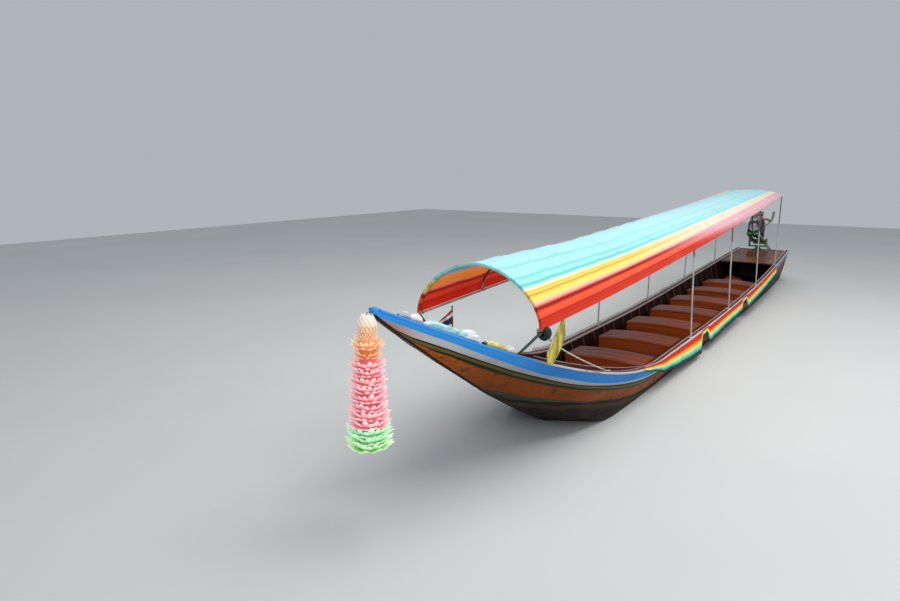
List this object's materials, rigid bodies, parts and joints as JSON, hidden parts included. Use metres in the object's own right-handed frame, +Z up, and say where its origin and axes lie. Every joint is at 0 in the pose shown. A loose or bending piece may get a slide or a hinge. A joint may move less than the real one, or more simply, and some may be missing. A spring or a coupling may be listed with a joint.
{
  "type": "longtail boat",
  "caption": "Wooden canal longtail boat with raised bow, striped arched canopy, cross benches and an engine that swivels and tilts with its long propeller tube.",
  "frame": {"origin": "amidships on the centre line, on the waterline", "axes": "+X to the bow, +Y to port, +Z up"},
  "size_m": [18.8734, 1.5212, 2.6147],
  "materials": {
    "varnished_wood": "gloss varnish",
    "bottom_paint": "satin paint",
    "deck_paint": "satin paint",
    "bare_wood": "worn varnish",
    "pipe": "satin",
    "dark_steel": "satin",
    "canopy_cloth": "matt",
    "side_cloth": "matt",
    "flowers": "matt",
    "pale_cloth": "matt",
    "yellow_cloth": "matt",
    "flag_cloth": "matt",
    "rope": "matt",
    "green_steel": "satin",
    "engine_metal": "matt",
    "grey_steel": "satin",
    "exhaust": "rusty",
    "tube_paint": "satin",
    "brass": "worn",
    "tank_plastic": "matt"
  },
  "bodies": {
    "hull": {"aft_deck": "bare_wood", "bench_1": "varnished_wood", "bench_2": "varnished_wood", "bench_3": "varnished_wood", "bench_4": "varnished_wood", "bench_5": "varnished_wood", "bench_6": "varnished_wood", "bench_7": "varnished_wood", "bow_bottom": "bottom_paint", "bow_cloth_pale": "pale_cloth", "bow_cloth_yellow": "yellow_cloth", "bow_flag": "flag_cloth", "bow_garland": "flowers", "bow_knot": "pale_cloth", "bow_rope": "rope", "bow_side_port": "varnished_wood", "bow_side_starboard": "varnished_wood", "canopy_bow_1": "pipe", "canopy_bow_10": "pipe", "canopy_bow_11": "pipe", "canopy_bow_2": "pipe", "canopy_bow_3": "pipe", "canopy_bow_4": "pipe", "canopy_bow_5": "pipe", "canopy_bow_6": "pipe", "canopy_bow_7": "pipe", "canopy_bow_8": "pipe", "canopy_bow_9": "pipe", "canopy_cloth": "canopy_cloth", "canopy_rail_port": "pipe", "canopy_rail_starboard": "pipe", "canopy_strut_port": "dark_steel", "canopy_strut_starboard": "dark_steel", "covering_board_port": "deck_paint", "covering_board_starboard": "deck_paint", "engine_bed": "bare_wood", "floor_boards": "varnished_wood", "foredeck": "deck_paint", "fuel_tank": "tank_plastic", "hull_bottom": "bottom_paint", "hull_side_port": "varnished_wood", "hull_side_starboard": "varnished_wood", "pivot_post": "green_steel", "side_cloth_port": "side_cloth", "side_cloth_starboard": "side_cloth", "stem_block": "bare_wood", "transom": "deck_paint", "yellow_scarf": "yellow_cloth"},
    "swivel": {"swivel_yoke": "green_steel"},
    "drive": {"engine_cradle": "green_steel", "engine_block": "engine_metal", "air_filter": "grey_steel", "exhaust_pipe": "exhaust", "clutch_housing": "engine_metal", "tail_tube": "tube_paint", "tiller": "dark_steel", "skeg": "tube_paint"},
    "propeller": {"propeller": "brass"}
  },
  "joints": [
    {"name": "steering_swivel", "type": "hinge", "parent": "hull", "child": "swivel", "pos_m": [-6.95, 0, 0.83], "axis": [0, 0, 1], "range_deg": [-45, 45]},
    {"name": "tail_tilt", "type": "hinge", "parent": "swivel", "child": "drive", "pos_m": [-6.95, 0, 0.98], "axis": [0, 1, 0], "range_deg": [-3, 25]},
    {"name": "propeller_spin", "type": "hinge", "parent": "drive", "child": "propeller", "pos_m": [-10.95237, 0, -0.10771], "axis": [0.9563, 0, 0.2924], "continuous": true}
  ]
}
